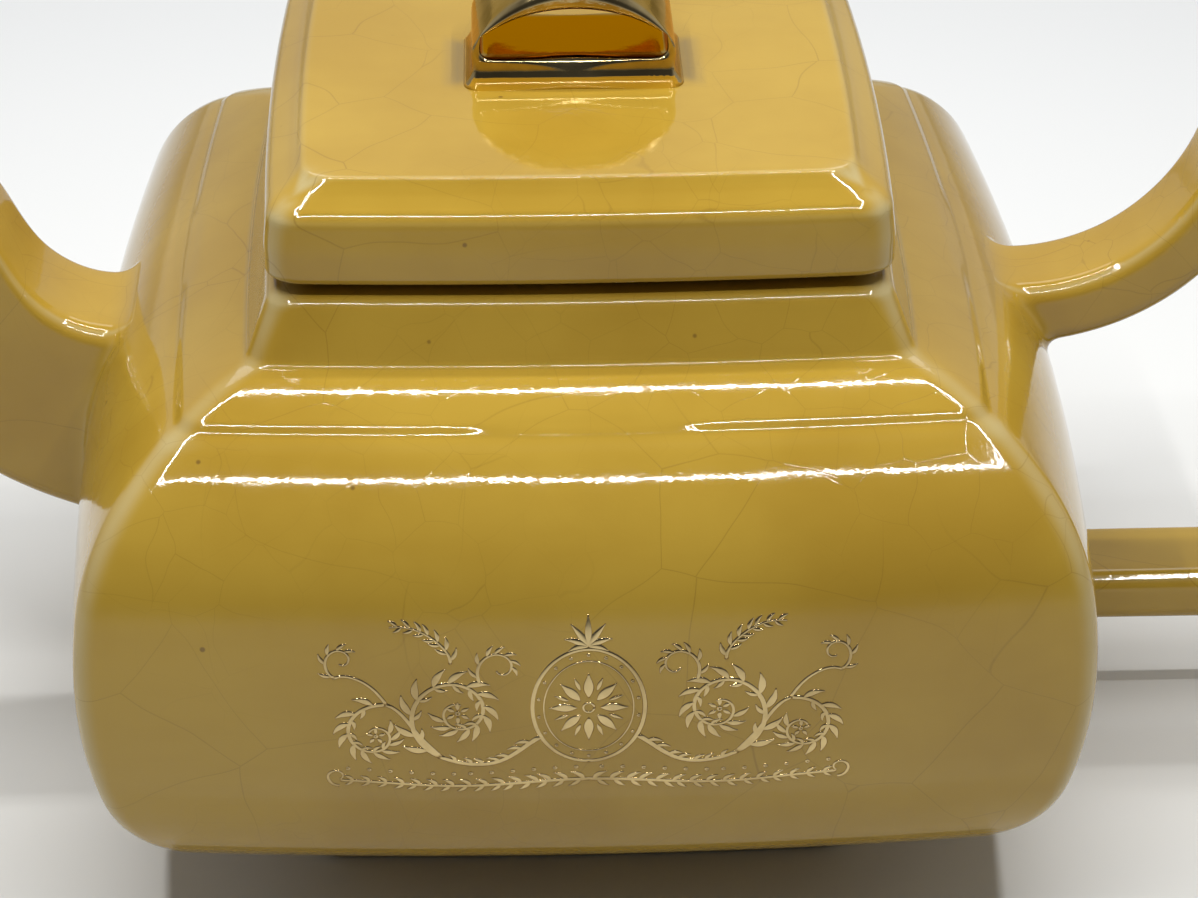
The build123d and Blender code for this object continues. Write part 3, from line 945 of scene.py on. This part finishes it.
def glaze_material():
    s = Shader("mustard_glaze")
    thin = s.math("MULTIPLY", s.attribute("glaze_thin_and_shade"), 0.7)
    cloud = s.noise(s.place, 28.0, 4.0, 0.55).outputs["Fac"]
    flattened = s.add("ShaderNodeMapping", {"Vector": s.place, "Scale": (40.0, 40.0, 260.0)}).outputs[0]
    streak = s.noise(flattened, 1.0, 3.0).outputs["Fac"]
    colour = s.mix(s.ramp(cloud, 0.32, 0.70), (0.340, 0.206, 0.022), (0.405, 0.258, 0.032))
    colour = s.mix(s.ramp(streak, 0.45, 0.8, 0.0, 0.16), colour, (0.33, 0.195, 0.018))
    pale = s.mix(s.ramp(cloud, 0.3, 0.7), (0.40, 0.32, 0.14), (0.47, 0.39, 0.20))
    colour = s.mix(s.ramp(thin, 0.12, 1.0, 0.0, 0.8), colour, pale)
    # Painted shade: where the mark is below zero the glaze is painted darker, as on the neck under the lid
    # and the top of the foot under the body.
    colour = s.mix(s.ramp(thin, -0.1, -0.8, 0.0, 0.55), colour, (0.26, 0.135, 0.006))
    patches = s.ramp(s.noise(s.place, 22.0, 2.0).outputs["Fac"], 0.36, 0.62)
    long_cracks = s.math("MULTIPLY", crackle(s, 58.0, 0.006, 0.0055), patches)
    elsewhere = s.math("SUBTRACT", 1.0, patches)
    fine_cracks = s.math("MULTIPLY", crackle(s, 135.0, 0.003, 0.009), elsewhere)
    cracks = s.math("ADD", s.math("MULTIPLY", long_cracks, 0.34), s.math("MULTIPLY", fine_cracks, 0.30))
    colour = s.mix(cracks, colour, (0.15, 0.080, 0.012))
    dots = s.add("ShaderNodeTexVoronoi", {"Vector": s.place, "Scale": 230.0}).outputs
    chosen = s.ramp(s.add("ShaderNodeSeparateColor", {"Color": dots["Color"]}).outputs[0], 0.955, 0.965)
    specks = s.math("MULTIPLY", s.ramp(dots["Distance"], 0.10, 0.05), chosen)
    colour = s.mix(s.math("MULTIPLY", specks, 0.7), colour, (0.12, 0.06, 0.015))
    colour = s.mix(s.attribute("soot"), colour, (0.20, 0.14, 0.05))
    s.feed(s.surface.inputs["Base Color"], colour)
    sheen = s.noise(s.place, 190.0, 2.0).outputs["Fac"]
    s.feed(s.surface.inputs["Roughness"], s.ramp(sheen, 0.3, 0.8, 0.045, 0.085))
    s.surface.inputs["IOR"].default_value = 1.52
    orange_peel = s.noise(s.place, 1700.0, 1.0).outputs["Fac"]
    ripple = s.noise(s.place, 240.0, 2.0).outputs["Fac"]
    height = s.math("ADD", s.math("MULTIPLY", orange_peel, 0.17), s.math("MULTIPLY", ripple, 0.36))
    height = s.math("SUBTRACT", height, s.math("MULTIPLY", cracks, 0.22))
    relief = s.add("ShaderNodeBump", {"Height": height, "Strength": 0.25, "Distance": 0.0002})
    s.feed(s.surface.inputs["Normal"], relief.outputs["Normal"])
    return s.material


def bisque_material():
    s = Shader("matt_bisque")
    cloud = s.noise(s.place, 60.0, 5.0, 0.6).outputs["Fac"]
    grain = s.noise(s.place, 1800.0, 3.0, 0.6).outputs["Fac"]
    colour = s.mix(s.ramp(cloud, 0.3, 0.7), (0.60, 0.45, 0.22), (0.70, 0.57, 0.34))
    colour = s.mix(s.ramp(grain, 0.60, 0.72, 0.0, 0.5), colour, (0.40, 0.27, 0.12))
    s.feed(s.surface.inputs["Base Color"], colour)
    s.feed(s.surface.inputs["Roughness"], s.ramp(cloud, 0.3, 0.7, 0.45, 0.7))
    relief = s.add("ShaderNodeBump", {"Height": grain, "Strength": 0.35, "Distance": 0.0001})
    s.feed(s.surface.inputs["Normal"], relief.outputs["Normal"])
    return s.material


def gilding_material(name, mask, under):
    """Gold lustre, painted a deep orange-gold where the knob marks the floor of its opening: painted bounce
    light from the gilding onto that shaded floor.

    Where the named mask is 0, the colour underneath shows as plain glaze.
    """
    s = Shader(name)
    tone = s.noise(s.place, 110.0, 4.0, 0.6).outputs["Fac"]
    gold = s.mix(s.ramp(tone, 0.3, 0.7), (0.38, 0.28, 0.13), (0.62, 0.48, 0.24))
    # Painted bounce light: deep orange-gold on the marked floor of the knob's opening.
    gold = s.mix(s.attribute("painted_gold_bounce"), gold, (0.60, 0.24, 0.004))
    wander = s.math("MULTIPLY", s.math("SUBTRACT", tone, 0.5), 0.8)
    cover = s.ramp(s.math("ADD", s.attribute(mask), wander), 0.42, 0.58)
    s.feed(s.surface.inputs["Base Color"], s.mix(cover, under, gold))
    s.feed(s.surface.inputs["Metallic"], cover)
    s.surface.inputs["Specular Tint"].default_value = (1.0, 0.72, 0.35, 1.0)
    s.feed(s.surface.inputs["Roughness"], s.ramp(tone, 0.3, 0.75, 0.06, 0.15))
    brushed = s.noise(s.place, 420.0, 3.0).outputs["Fac"]
    relief = s.add("ShaderNodeBump", {"Height": brushed, "Strength": 0.2, "Distance": 0.0002})
    s.feed(s.surface.inputs["Normal"], relief.outputs["Normal"])
    return s.material


GLAZE = glaze_material()
BISQUE = bisque_material()
GOLD = gilding_material("gold_lustre", "gilded", (0.40, 0.21, 0.012))
LINE_GOLD = gilding_material("gold_linework", "gilded", (0.11, 0.055, 0.012))
coats = [(piece, GLAZE) for piece in (body, foot, spout, handle, lid)]
for piece, material in coats + [(flange, BISQUE), (knob, GOLD), (ornament, LINE_GOLD)]:
    piece.data.materials.clear()
    piece.data.materials.append(material)


# ---------------------------------------------------------------- floor, light and camera

def make_floor():
    rings = []
    for radius in (0.05, 0.2, 0.5, 1.2, 3.0, 8.0):
        circle = arc((0.0, 0.0), radius / MM, 0, 360, 64)[:-1]
        rings.append(np.column_stack([circle, np.zeros(64)]))
    floor = rings_object("floor", rings, capped=False)
    work = bmesh.new()
    work.from_mesh(floor.data)
    hole = [e for e in work.edges if e.is_boundary and e.verts[0].co.length < 0.06]
    bmesh.ops.holes_fill(work, edges=hole)
    bmesh.ops.recalc_face_normals(work, faces=work.faces)
    work.to_mesh(floor.data)
    work.free()
    s = Shader("pale_table")
    tone = s.math("MULTIPLY", s.noise(s.place, 3.0, 2.0).outputs["Fac"], 0.06)
    # Painted light falloff: the table is painted darker towards the camera and paler behind the pot.
    depth = s.ramp(s.add("ShaderNodeSeparateXYZ", {0: s.place}).outputs["Y"], -0.15, 0.30)
    shade = s.math("ADD", depth, tone)
    s.feed(s.surface.inputs["Base Color"], s.mix(shade, (0.64, 0.635, 0.605), (0.95, 0.955, 0.95)))
    s.surface.inputs["Roughness"].default_value = 0.55
    floor.data.materials.append(s.material)
    floor.location.z = -0.00002
    return floor


def area_light(name, place, target, size, power, colour=(1.0, 1.0, 1.0)):
    data = bpy.data.lights.new(name, "AREA")
    data.shape = "RECTANGLE"
    data.size, data.size_y = size
    data.energy = power
    data.color = colour
    light = bpy.data.objects.new(name, data)
    light.location = place
    light.rotation_mode = "QUATERNION"
    light.rotation_quaternion = (Vector(target) - Vector(place)).to_track_quat("-Z", "Y")
    bpy.context.scene.collection.objects.link(light)
    return light


STRIP_Z = 0.40
STRIP_WIDTH = 0.006
STRIP_POWER = 0.62

make_floor()
for name, x, y, length, turned in (
    ("front_strip", 0.0, -0.225, 0.30, False),
    ("back_strip", 0.0, 0.045, 0.30, False),
    ("left_strip", -0.15, -0.09, 0.27, True),
    ("right_strip", 0.15, -0.09, 0.27, True),
):
    size = (STRIP_WIDTH, length) if turned else (length, STRIP_WIDTH)
    area_light(name, (x, y, STRIP_Z), (x, y, 0.0), size, STRIP_POWER)
area_light("back_fill", (0.0, 0.48, 0.62), (0.0, 0.30, 0.0), (0.6, 0.2), 0.8)


def make_world():
    """Room round the table: pale walls behind and at the sides, dim in front and overhead."""
    world = bpy.data.worlds.new("studio")
    bpy.context.scene.world = world
    world.use_nodes = True
    nodes, links = world.node_tree.nodes, world.node_tree.links
    split = nodes.new("ShaderNodeSeparateXYZ")
    links.new(nodes.new("ShaderNodeTexCoord").outputs["Generated"], split.inputs[0])

    def level(axis, values):
        ramp = nodes.new("ShaderNodeMapRange")
        ramp.interpolation_type = "SMOOTHSTEP"
        for key, value in zip(("From Min", "From Max", "To Min", "To Max"), values):
            ramp.inputs[key].default_value = value
        links.new(split.outputs[axis], ramp.inputs["Value"])
        return ramp.outputs["Result"]

    walls = nodes.new("ShaderNodeMath")
    walls.operation = "MULTIPLY"
    links.new(level("Y", (-0.85, 0.05, 0.14, 1.0)), walls.inputs[0])
    links.new(level("Z", (0.62, 0.95, 0.50, 0.10)), walls.inputs[1])
    background = nodes["Background"]
    background.inputs["Color"].default_value = (0.95, 0.975, 1.0, 1.0)
    links.new(walls.outputs[0], background.inputs["Strength"])


make_world()


def photo_camera():
    """Camera at the photograph's angle: looking down at the decorated face from a little left of it."""
    pitch, yaw, roll = math.radians(30.06), math.radians(1.786), math.radians(-0.095)
    forward = Vector((math.sin(yaw) * math.cos(pitch), math.cos(yaw) * math.cos(pitch), -math.sin(pitch)))
    right = Vector((math.cos(yaw), -math.sin(yaw), 0.0))
    up = right.cross(forward)
    across = right * math.cos(roll) + up * math.sin(roll)
    upright = up * math.cos(roll) - right * math.sin(roll)
    data = bpy.data.cameras.new("camera")
    data.sensor_width = 36.0
    data.lens = 106.74
    data.clip_start = 0.01
    camera = bpy.data.objects.new("camera", data)
    turn = Matrix((across, upright, -forward)).transposed().to_4x4()
    camera.matrix_world = Matrix.Translation((-0.00922, -0.39589, 0.26851)) @ turn
    bpy.context.scene.collection.objects.link(camera)
    bpy.context.scene.camera = camera


photo_camera()
bpy.context.scene.view_settings.view_transform = "Standard"
